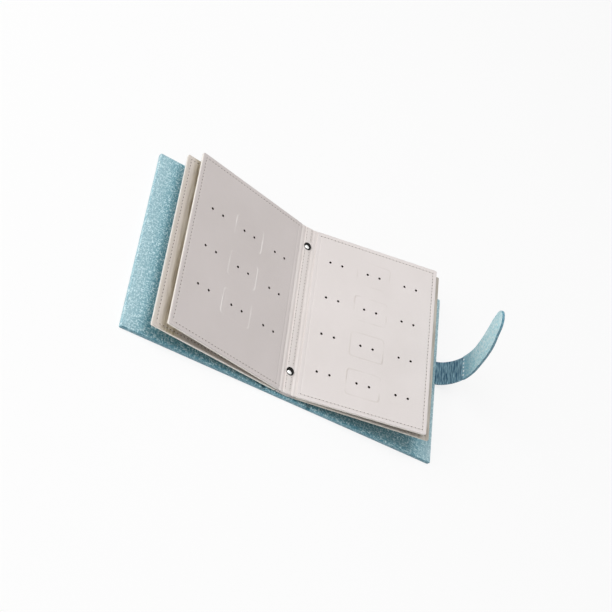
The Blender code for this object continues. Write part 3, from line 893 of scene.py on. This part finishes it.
@dataclass
class Binding:
    """The middle of the two folded leaf spreads, riveted to the spine."""

    strip_rim: float = 0.55 * MM
    strip_cuts: int = 38             # steps along a strip
    stitch_pitch: float = 3.05 * MM
    stitch: Stitch = Stitch(0.915 * MM, 0.34 * MM, 0.14 * MM, 0.5 * MM, 0.06 * MM)
    row_out: float = 2.1 * MM        # middle of the strip to a row of stitches
    stitch_end: float = 2.0 * MM     # strip's end to the rows
    cap_room: float = 1.0 * MM       # no stitch starts this close to a cap
    cap_radius: float = 3.4 * MM
    cap_height: float = 1.15 * MM
    rim_height: float = 0.35 * MM
    step: float = 0.12 * MM          # rim's top to the level where the dome's curve would end
    dome: float = 0.9                # share of the radius under the dome
    dome_fall: float = 0.98          # 1 would take the curve down to that level
    dome_steps: int = 10             # from the top down
    cap_sides: int = 48
    cap_sharp: float = 50.0          # edges that turn by more degrees stay sharp
    rim_shares: tuple[Span, ...] = (     # of the cap's radius and of the rim's height
        (0.93, 0.9), (0.97, 1.0), (1.0, 0.6), (0.985, 0.0), (0.0, 0.0))
    crown: Point = (-1.85 * MM, 1.8 * MM, 1.15 * MM)     # painted glint: off the middle, half length, half width
    glint_turn: float = math.radians(31)

    def build_strip(self, node: str, name: str, finish: Material) -> None:
        """Build one binding strip as a soft padded bar in its CAD node's box.

        Args:
            node: the CAD node.
            name: name of the piece.
            finish: the leatherette.
        """
        low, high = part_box(node)
        bm = bmesh.new()
        start_plate(bm, low.x, high.x, low.y, high.y)
        thicken(bm, high.z - low.z)
        round_off(bm, level_edges(bm), self.strip_rim, 3)
        lift_mesh(bm, low.z)
        cut_lines(bm, [low.y + (high.y - low.y) * i / self.strip_cuts for i in range(1, self.strip_cuts)], axis=1)
        record_rest(bm)
        ride(make_piece(bm, name, [finish], (node,)), "spine")

    def build_stitches(self, wardrobe: Wardrobe) -> None:
        """Build the two rows of stitches along the upper strip, left out under the rivet caps.

        Args:
            wardrobe: the finishes.
        """
        low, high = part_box("upper_binding_strip")
        caps = [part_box("rivet_cap_" + end) for end in ("top", "bottom")]
        bm = bmesh.new()
        for y in spread(low.y + self.stitch_end, high.y - self.stitch_end, self.stitch_pitch):
            if any(cap[0].y - self.cap_room < y < cap[1].y + self.cap_room for cap in caps):
                continue
            for out in (-self.row_out, self.row_out):
                x = (low.x + high.x) / 2 + out
                self.stitch.sew(bm, (x, y, high.z), math.pi / 2)
                self.stitch.pierce(bm, (x, y + self.stitch_pitch / 2, high.z))
        record_rest(bm)
        ride(make_piece(bm, "binding_stitches", [wardrobe.thread, wardrobe.soft_needle]), "spine")

    def build_cap(self, end: str, finishes: list[Material]) -> None:
        """Build one domed rivet cap: a rolled rim, a shoulder and a bright patch off its middle as a painted glint.

        Args:
            end: top or bottom.
            finishes: the plating, near black as painted dark reflection, and the painted glint.
        """
        low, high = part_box("rivet_cap_" + end)
        bm = bmesh.new()
        base = self.rim_height + self.step
        shape = []
        for out in (i / self.dome_steps for i in range(self.dome_steps + 1)):
            rise = (self.cap_height - base) * math.sqrt(1 - out ** 2 * self.dome_fall)
            shape.append((self.cap_radius * self.dome * out, base + rise))
        shape += [(self.cap_radius * out, self.rim_height * up) for out, up in self.rim_shares]
        verts = [bm.verts.new((out, 0, up)) for out, up in shape]
        edges = [bm.edges.new(pair) for pair in zip(verts, verts[1:])]
        bmesh.ops.spin(bm, geom=verts + edges, cent=(0, 0, 0), axis=(0, 0, 1), angle=math.tau,
                       steps=self.cap_sides, use_merge=True)
        bmesh.ops.remove_doubles(bm, verts=bm.verts, dist=FINE)
        # Painted glint: the faces inside an ellipse off the dome's middle take the bright copy.
        for face in bm.faces:
            place = Matrix.Rotation(self.glint_turn, 3, "Z") @ face.calc_center_median()
            across = Vector((place.x / self.crown[1], (place.y - self.crown[0]) / self.crown[2]))
            face.material_index = 1 if across.length < 1 and place.z > self.rim_height else 0
        middle = (low + high) / 2
        bmesh.ops.translate(bm, vec=(middle.x, middle.y, low.z), verts=bm.verts)
        record_rest(bm)
        piece = make_piece(bm, "rivet_dome_" + end, finishes, ("rivet_cap_" + end,), self.cap_sharp)
        ride(piece, "spine")


@dataclass
class Leaf:
    """One punched leaf: two leatherette faces stitched together round a stiff core."""

    letter: str
    side: Side
    rows: int
    reach: float                     # fold axis to fore edge
    lower: bool
    near: float = 0.6 * MM           # fold axis to the inner edge
    half_height: float = 76.0 * MM
    thickness: float = 2.2 * MM
    corner: float = 1.2 * MM
    step: float = 2.5 * MM           # how far a lower leaf's middle lies under the fold axis
    stitch_inset: float = 3.3 * MM
    stitch_start: float = 0.4 * MM   # an upper leaf's inner edge to its first stitches
    stitch_pitch: float = 3.05 * MM
    stitch_sink: float = 0.16 * MM   # a face to a stitch's middle
    hole_sink: float = 0.18 * MM     # and to a needle hole's
    stitch: Stitch = Stitch(0.9455 * MM, 0.36 * MM, 0.22 * MM, 0.62 * MM, 0.08 * MM)
    hole_radius: float = 1.05 * MM
    hole_sides: int = 14
    column_middle: float = 52.1 * MM
    column_pitch: float = 32.7 * MM
    row_pitch: float = 33.5 * MM
    pair: float = 10.4 * MM          # between the two holes of a pair
    wall: float = 0.5                # faces whose normal points up less than this are the leaf's walls
    profile: tuple[Span, ...] = (    # in mm: distance from the edge, and how far the face lies lower there
        (0.0, 0.4), (0.1, 0.16), (0.3, 0.04), (0.7, 0.0), (2.5, 0.0), (2.9, 0.12), (3.3, 0.18), (3.7, 0.12),
        (4.1, 0.0), (4.5, 0.0), (5.0, 0.0))
    plain: float = 4.6 * MM          # width along an upper leaf's inner edge that has no stitch channel
    crease_edge: Span = (0.3 * MM, 0.06 * MM)    # width of that edge's rim, and how far it lies lower at most

    def holes(self) -> list[tuple[float, float]]:
        """List the places of the stud holes on the flat leaf.

        Returns:
            x and y of each one.
        """
        columns = [self.column_middle + column * self.column_pitch for column in (-1, 0, 1)]
        return [(self.side.value * (x + end * self.pair), (row - (self.rows - 1) / 2) * self.row_pitch)
                for row in range(self.rows) for x in columns for end in (-0.5, 0.5)]

    def drop(self, vert: BMVert, drops: dict[tuple[float, float], float]) -> float:
        """Find how far the face lies lower at one of its points.

        Args:
            vert: the point.
            drops: the profile's drops by place.

        Returns:
            The drop.
        """
        drop = drops.get(spot(vert), 0.0)
        out, up = abs(vert.co.x) - self.near, abs(vert.co.y)
        if self.lower or out >= self.plain or up >= self.half_height - self.plain:
            return drop
        return min(drop, self.crease_edge[1]) if out < self.crease_edge[0] else 0.0

    def lay_down(self, bm: BMesh, lift: float) -> None:
        """Lay the flat mesh on the leaf's plane at rest, as far above its middle as lift says."""
        height = -self.step if self.lower else 0.0
        lay_on_leaf(bm, self.letter, "leaf_%s_turn" % self.letter, height + lift)

    def build_panel(self, wardrobe: Wardrobe) -> None:
        """Build the leaf: a punched plate with a shallow stitch channel and rounded rims.

        Args:
            wardrobe: the finishes.
        """
        bm = bmesh.new()
        bounds = (*self.side.span(self.near, self.reach), -self.half_height, self.half_height)
        drops: dict[tuple[float, float], float] = {}
        edges: list[BMEdge] = []
        for inset, drop in self.profile:
            inner = outline_loop(bm, bounds, inset * MM, self.corner)
            drops.update({spot(v): drop * MM for e in inner for v in e.verts})
            if edges:
                bmesh.ops.bridge_loops(bm, edges=edges + inner)
            edges = inner
        punched: set[tuple[float, float]] = set()
        for x, y in self.holes():
            ring = bmesh.ops.create_circle(bm, cap_ends=False, segments=self.hole_sides, radius=self.hole_radius,
                                           matrix=Matrix.Translation((x, y, 0)))
            edges = edges + list({e for v in ring["verts"] for e in v.link_edges})
            punched |= {spot(v) for v in ring["verts"]}
        bmesh.ops.triangle_fill(bm, use_beauty=True, edges=edges)
        thicken(bm, self.thickness)
        bm.normal_update()
        for face in bm.faces:
            if abs(face.normal.z) < self.wall:
                face.material_index = 2 if all(spot(v) in punched for v in face.verts) else 1
        for vert in bm.verts:
            down = self.drop(vert, drops)
            vert.co.z += down if vert.co.z < self.thickness / 2 else -down
        self.lay_down(bm, -self.thickness / 2)
        edge = wardrobe.lower_edge_shade if self.letter == "d" else wardrobe.edge
        piece = make_piece(bm, "leaf_%s_panel" % self.letter, [wardrobe.leaves[self.letter], edge, wardrobe.punched],
                           tuple("leaf_%s_%s" % (self.letter, part)
                                                     for part in ("face", "core", "back")))
        ride(piece, "leaf_" + self.letter)

    def stitch_places(self) -> list[Point]:
        """List the places of the stitches round the leaf, as on the right side.

        Returns:
            x, y and turn of each one.
        """
        low = self.near + (self.stitch_inset if self.lower else self.stitch_start)
        high, half = self.reach - self.stitch_inset, self.half_height - self.stitch_inset
        places = [(x, y, 0.0) for x in spread(low, high, self.stitch_pitch) for y in (half, -half)]
        ends = (high, low) if self.lower else (high,)
        return places + [(x, y, math.pi / 2) for y in spread(-half, half, self.stitch_pitch) for x in ends]

    def build_stitches(self, wardrobe: Wardrobe) -> None:
        """Build the stitches of both faces, each with its needle hole.

        Args:
            wardrobe: the finishes.
        """
        bm = bmesh.new()
        for x, y, turn in self.stitch_places():
            x *= self.side.value
            step = Vector((math.cos(turn), math.sin(turn))) * self.stitch_pitch / 2
            for face in (1, -1):
                self.stitch.sew(bm, (x, y, face * (self.thickness / 2 - self.stitch_sink)), turn)
                self.stitch.pierce(bm, (x + step.x, y + step.y, face * (self.thickness / 2 - self.hole_sink)))
        self.lay_down(bm, 0.0)
        needle = wardrobe.deep_needle if self.lower else wardrobe.needle
        piece = make_piece(bm, "leaf_%s_stitches" % self.letter, [wardrobe.thread, needle])
        ride(piece, "leaf_" + self.letter)


@dataclass
class Crease:
    """The two pressed bands, one above the other, where the leaves of one side fold."""

    side: Side
    upper: str
    lower: str
    thickness: float = 1.2 * MM
    half_height: float = 76.0 * MM
    step: float = 2.5 * MM               # how far the lower band lies under the fold axis
    upper_span: Span = (-0.85 * MM, 3.65 * MM)       # from the fold axis
    lower_span: Span = (0.1 * MM, 3.2 * MM)
    rim: float = 0.15 * MM
    ridge: Span = (0.3 * MM, 1.5 * MM)   # height and half width
    ridge_foot: float = 0.9              # share of the thickness above which points are lifted
    ridge_cuts: tuple[float, ...] = (-1.0, -0.5, 0.0, 0.5, 1.0)          # mm off the band's middle
    bend_cuts: tuple[float, ...] = (1.6, 2.0, 2.4, 2.8, 3.2)             # mm from the fold axis
    bend: Span = (1.2 * MM, 3.4 * MM)    # where the band starts to follow the lower leaf, and where it does so fully

    def build_band(self, letter: str, finish: Material) -> None:
        """Build one band as a soft bar with a slight ridge along its middle.

        Args:
            letter: the leaf that the band belongs to.
            finish: the leatherette.
        """
        upper = letter == self.upper
        low, high = self.side.span(*(self.upper_span if upper else self.lower_span))
        bm = bmesh.new()
        start_plate(bm, low, high, -self.half_height, self.half_height)
        thicken(bm, self.thickness)
        round_off(bm, level_edges(bm), self.rim, 2)
        middle = (low + high) / 2
        cut_lines(bm, [middle + cut * MM for cut in self.ridge_cuts])
        for vert in bm.verts:
            if vert.co.z > self.thickness * self.ridge_foot:
                vert.co.z += self.ridge[0] * ease(1 - abs(vert.co.x - middle) / self.ridge[1])
        cut_lines(bm, [self.side.value * cut * MM for cut in self.bend_cuts])
        joint = self.side.name.lower() + "_crease"
        plane = lay_on_leaf(bm, self.lower, joint, -self.thickness / 2 - (0.0 if upper else self.step))
        piece = make_piece(bm, "leaf_%s_band" % letter, [finish], ("leaf_%s_crease" % letter,))
        blend(piece, joint + "s", "leaf_" + self.lower)


@dataclass
class Strap:
    """The closing strap: a webbing root sewn into the back cover and a lined leatherette tongue."""

    start_x: float = 122.815 * MM
    start_z: float = 2.1 * MM
    width: float = 22.0 * MM
    place: float = 5.0 * MM              # its middle line above the book's middle
    stretches: tuple[Span, ...] = (      # lengths in mm and turns in degrees, from the cover on
        (11.5, 0.0), (12.0, 53.7), (10.0, 22.1), (14.0, 20.3), (16.0, 14.1), (20.0, 3.6), (24.0, 5.2), (23.4, -4.3))
    first_fold: Span = (25.5 * MM, 5.0 * MM)     # distance along the strap, and half length of its bend
    second_fold: Span = (56.7 * MM, 6.0 * MM)
    seam: float = 43.0 * MM              # where the tongue starts, along the strap
    twist: float = math.radians(3.5)     # how far the tongue's end has turned about its middle line
    twist_share: float = 0.6             # share of the way from the second fold to the end where it has turned
    taper: float = 0.3                   # how much narrower it gets towards its end
    taper_length: float = 34.0 * MM
    root_thickness: float = 1.7 * MM
    root_inset: float = 0.3 * MM         # how much narrower the webbing is on each side
    root_overlap: float = 1.0 * MM       # how far it reaches into the tongue
    root_rim: float = 0.6 * MM
    root_cut: float = 1.2 * MM
    thickness: float = 2.1 * MM
    rim: float = 0.5 * MM
    tip_inset: float = 0.2 * MM          # how much smaller the tip's radius is than half the width
    tip_steps: int = 12                  # along a quarter of the tip
    cuts: int = 60                       # steps along the tongue
    outer_share: float = 0.6             # share of the thickness that the outer leatherette takes
    stitch_pitch: float = 2.6 * MM
    seam_pitch: float = 3.51 * MM
    stitch_inset: float = 1.8 * MM
    stitch_start: float = 1.2 * MM       # seam to the first stitches
    stitch: Stitch = Stitch(0.858 * MM, 0.34 * MM, 0.17 * MM)
    seam_stitch: Stitch = Stitch(0.858 * MM, 0.85 * MM, 0.425 * MM)

    @property
    def length(self) -> float:
        """The strap's whole length."""
        return sum(length for length, _ in self.stretches) * MM

    def follow(self, along: float) -> Point:
        """Follow the strap's middle line.

        Args:
            along: distance from its start inside the cover.

        Returns:
            x, z and slope there.
        """
        x, z, slope = self.start_x, self.start_z, 0.0
        for length, turn in self.stretches:
            part = min(max(along, 0.0), length * MM)
            if turn:
                radius = length * MM / math.radians(turn)
                after = slope + part / radius
                x += radius * (math.sin(after) - math.sin(slope))
                z += radius * (math.cos(slope) - math.cos(after))
                slope = after
            else:
                x += part * math.cos(slope)
                z += part * math.sin(slope)
            along -= part
        return x, z, slope

    def lay_down(self, bm: BMesh) -> None:
        """Record a flat stretch of strap and bend it to the middle line.

        Args:
            bm: the stretch, with x along it and z towards its inner face.
        """
        record_rest(bm)
        twist_length = self.twist_share * (self.length - self.second_fold[0])
        for vert in bm.verts:
            along, across, up = vert.co
            across *= 1 - self.taper * ease((along - self.length) / self.taper_length + 1)
            x, z, slope = self.follow(along)
            turn = self.twist * ease((along - self.second_fold[0]) / twist_length)
            up, across = up * math.cos(turn) + across * math.sin(turn), across * math.cos(turn) - up * math.sin(turn)
            vert.co = (x - up * math.sin(slope), across + self.place, z + up * math.cos(slope))

    def bend_at(self, fold: Span, piece: Object, first: str, second: str) -> None:
        """Bake a piece's place, and report the bodies on either side of one of the strap's folds.

        Args:
            fold: distance along the strap, and half length of the bend.
            piece: the piece.
            first: body before the fold.
            second: body after it.
        """
        x, z, slope = self.follow(fold[0])
        blend(piece, first, second)

    def build_root(self, wardrobe: Wardrobe) -> None:
        """Build the webbing root, bent along the strap's middle line.

        Args:
            wardrobe: the finishes.
        """
        bm = bmesh.new()
        half = self.width / 2 - self.root_inset
        start_plate(bm, 0.0, self.seam + self.root_overlap, -half, half)
        thicken(bm, self.root_thickness)
        round_off(bm, level_edges(bm), self.root_rim, 3)
        lift_mesh(bm, -self.root_thickness / 2)
        cut_lines(bm, [i * self.root_cut for i in range(1, int(self.seam / self.root_cut))])
        self.lay_down(bm)
        piece = make_piece(bm, "strap_webbing_root", [wardrobe.webbing],
                           ("strap_tail", "strap_base_outer", "strap_base_core", "strap_base_inner"))
        self.bend_at(self.first_fold, piece, "back_cover", "strap_base")

    def build_tongue(self, wardrobe: Wardrobe) -> None:
        """Build the rounded tongue, bent along the strap's middle line.

        Args:
            wardrobe: the finishes.
        """
        bm = bmesh.new()
        half, end = self.width / 2, self.length
        start_plate(bm, self.seam, end, -half, half)
        round_off(bm, [v for v in bm.verts if v.co.x > end - SAME], half - self.tip_inset,
                  self.tip_steps, "VERTICES")
        thicken(bm, self.thickness)
        for face in bm.faces:
            # The back face and the sides take the darker back leatherette; on the sides that darkness is painted
            # shade.
            face.material_index = 1 if face.calc_center_median().z < self.thickness * self.outer_share else 0
        round_off(bm, level_edges(bm), self.rim, 3)
        lift_mesh(bm, -self.thickness / 2)
        cut_lines(bm, [self.seam + (end - self.seam) * i / self.cuts for i in range(1, self.cuts)])
        self.lay_down(bm)
        piece = make_piece(bm, "strap_tongue", [wardrobe.strap_lining, wardrobe.strap_outer],
                           ("strap_tip_outer", "strap_tip_core", "strap_tip_inner"))
        self.bend_at(self.second_fold, piece, "strap_base", "strap_tip")

    def build_stitches(self, wardrobe: Wardrobe) -> None:
        """Build the tongue's edge stitches and the pale seam across its root, on both faces.

        Args:
            wardrobe: the finishes.
        """
        bm = bmesh.new()
        first, straight = self.seam + self.stitch_start, self.length - self.width / 2
        half = self.width / 2 - self.stitch_inset
        edge = [(x, y, 0.0) for x in spread(first, straight, self.stitch_pitch) for y in (half, -half)]
        edge += [(straight + half * math.cos(angle), half * math.sin(angle), angle + math.pi / 2)
                 for angle in spread(-math.pi / 2, math.pi / 2, self.stitch_pitch / half)]
        seam = [(first, y, math.pi / 2) for y in spread(-half, half, self.seam_pitch)]
        for number, (places, stitch) in enumerate(((edge, self.stitch), (seam, self.seam_stitch))):
            for x, y, turn in places:
                for z in (self.thickness / 2, -self.thickness / 2):
                    stitch.sew(bm, (x, y, z), turn, number)
        self.lay_down(bm)
        piece = make_piece(bm, "strap_stitches", [wardrobe.blue_thread, wardrobe.pale_thread])
        self.bend_at(self.second_fold, piece, "strap_base", "strap_tip")


@dataclass
class HiddenParts:
    """The CAD nodes that stay as they are, mostly inside the wraps, and get real finishes."""

    boards: tuple[str, ...] = ("spine_board", "front_board", "back_board")
    metal: tuple[str, ...] = ("rivet_post_top", "rivet_post_bottom")
    magnets: tuple[str, ...] = ("front_magnet", "strap_magnet")

    def dress(self, wardrobe: Wardrobe) -> None:
        """Give each kept node its material.

        Args:
            wardrobe: the finishes.
        """
        for names, finish in ((self.boards, wardrobe.board), (self.metal, wardrobe.nickel),
                              (self.magnets, wardrobe.magnet)):
            for name in names:
                for slot in frame["nodes"][name].material_slots:
                    slot.material = finish
                LOG.info("%s: kept, %s", name, finish.name)


@dataclass(frozen=True)
class Lamp:
    """One square softbox that looks at the book."""

    name: str
    toward: Point                        # direction from the book to the lamp
    distance: float
    size: float
    power: float                         # watts


@dataclass
class Studio:
    """A pale floor, soft light from above and the left, and the photograph's camera."""

    frame_size: int = 612                # the photograph's width in pixels
    sensor: float = 36.0                 # in mm, as cameras have it
    focal: float = 1175.6                # in pixels
    eye: Point = (-396.0 * MM, -488.6 * MM, 658.0 * MM)
    forward: Point = (0.4396, 0.5428, -0.7156)
    down: Point = (0.3966, -0.8322, -0.3876)
    lamps: tuple[Lamp, ...] = (Lamp("softbox_above", (-0.14, 0.03, 1.0), 2.5, 1.1, 28.0),
                               Lamp("softbox_left", (-0.8, -0.1, 0.58), 2.5, 1.9, 31.0),
                               Lamp("catch_light", (0.77, 0.34, 0.54), 1.6, 0.3, 0.9))
    fill: float = 0.24                   # strength of the light from all round
    floor_half: float = 4.0
    floor_gap: float = 0.05 * MM         # the book's underside to the floor
    fibre: float = 300 * MM              # size of the paper's changes of tone
    glow: float = 0.8                    # share of plain white in the floor that the camera sees

    def place_camera(self) -> None:
        """Place the camera as fitted to the photograph."""
        data = bpy.data.cameras.new("view")
        data.sensor_width = self.sensor
        data.lens = self.sensor * self.focal / self.frame_size
        camera = bpy.data.objects.new("view", data)
        back, up = -Vector(self.forward).normalized(), -Vector(self.down)
        up = (up - up.dot(back) * back).normalized()
        turn = Matrix((up.cross(back), up, back)).transposed().to_4x4()
        camera.matrix_world = Matrix.Translation(self.eye) @ turn
        bpy.context.scene.collection.objects.link(camera)
        bpy.context.scene.camera = camera

    @staticmethod
    def seen(tree: NodeTree) -> Node:
        """Tell the rays that show a surface, straight or in gloss or glass, from those that light with it.

        Args:
            tree: the node tree of a material or world.

        Returns:
            The node that gives 1 for the first and 0 for the others.
        """
        rays = add_node(tree, "LightPath").outputs
        share = add_node(tree, "Math", {"operation": "MAXIMUM"}, {0: rays["Is Camera Ray"], 1: rays["Is Glossy Ray"]})
        return add_node(tree, "Math", {"operation": "MAXIMUM"}, {0: share, 1: rays["Is Transmission Ray"]})

    def lay_floor(self) -> None:
        """Lay a pale floor that keeps the book's shadow."""
        bm = bmesh.new()
        start_plate(bm, -self.floor_half, self.floor_half, -self.floor_half, self.floor_half)
        lift_mesh(bm, -self.floor_gap)
        mesh = bpy.data.meshes.new("studio_floor")
        bm.to_mesh(mesh)
        bm.free()
        floor = bpy.data.objects.new("studio_floor", mesh)
        bpy.context.scene.collection.objects.link(floor)
        # Seamless paper: matt white with broad, faint changes of tone.
        material = bpy.data.materials.new("white_seamless_paper")
        tree = clear_tree(material)
        place = add_node(tree, "TexCoord").outputs["Object"]
        fibre = add_node(tree, "TexNoise", {"Scale": 1 / self.fibre}, {"Vector": place})
        tone = add_node(tree, "Mix", COLOURS | {UNDER: linear("F6F6F6"), OVER: linear("FAFAFA")}, {0: fibre})
        paper = add_node(tree, "BsdfDiffuse", links={"Color": tone})
        glow = add_node(tree, "Emission", {"Color": WHITE, "Strength": 1.0})
        share = add_node(tree, "Math", {"operation": "MULTIPLY", 1: self.glow}, {0: self.seen(tree)})
        both = add_node(tree, "MixShader", links={0: share, 1: paper, 2: glow})
        add_node(tree, "OutputMaterial", links={"Surface": both})
        mesh.materials.append(material)

    def light(self) -> None:
        """Set the softboxes and the white surround."""
        for lamp in self.lamps:
            data = bpy.data.lights.new(lamp.name, "AREA")
            data.shape, data.size, data.energy = "SQUARE", lamp.size, lamp.power
            made = bpy.data.objects.new(lamp.name, data)
            toward = Vector(lamp.toward).normalized()
            turn = toward.to_track_quat("Z", "Y").to_matrix().to_4x4()
            made.matrix_world = Matrix.Translation(toward * lamp.distance) @ turn
            bpy.context.scene.collection.objects.link(made)
        world = bpy.data.worlds.new("white_surround")
        bpy.context.scene.world = world
        tree = clear_tree(world)
        dim, bright = (add_node(tree, "Background", {"Color": WHITE, "Strength": strength})
                       for strength in (self.fill, 1.0))
        both = add_node(tree, "MixShader", links={0: self.seen(tree), 1: dim, 2: bright})
        add_node(tree, "OutputWorld", links={"Surface": both})

    def build(self) -> None:
        """Set up the whole studio."""
        bpy.context.scene.view_settings.view_transform = "Standard"
        self.place_camera()
        self.lay_floor()
        self.light()
        LOG.info("studio set")


def main() -> None:
    """Build the studio and every sub-assembly in order."""
    logging.basicConfig(level=logging.INFO, format="%(name)s %(message)s")
    Studio().build()
    upper, lower = 107.5 * MM, 113.5 * MM
    leaves = [Leaf("b", Side.LEFT, 4, lower, True), Leaf("a", Side.LEFT, 3, upper, False),
              Leaf("d", Side.RIGHT, 4, lower, True), Leaf("c", Side.RIGHT, 4, upper, False)]
    wardrobe = Wardrobe(leaves[0].row_pitch, leaves[0].column_middle)
    for side in Side:
        half = CoverHalf(side)
        half.build_wrap([wardrobe.cover, wardrobe.cover_rim, wardrobe.cover_tail])
        half.build_lining([wardrobe.cover, wardrobe.cover_seam])
    binding = Binding()
    for level in ("lower", "upper"):
        binding.build_strip(level + "_binding_strip", level + "_binding", wardrobe.band)
    binding.build_stitches(wardrobe)
    for end in ("top", "bottom"):
        binding.build_cap(end, [wardrobe.nickel, wardrobe.crown])
    for crease in (Crease(Side.LEFT, "a", "b"), Crease(Side.RIGHT, "c", "d")):
        for letter in (crease.upper, crease.lower):
            crease.build_band(letter, wardrobe.band)
    for leaf in leaves:
        leaf.build_panel(wardrobe)
        leaf.build_stitches(wardrobe)
    strap = Strap()
    strap.build_root(wardrobe)
    strap.build_tongue(wardrobe)
    strap.build_stitches(wardrobe)
    HiddenParts().dress(wardrobe)


if __name__ == "__main__":
    main()
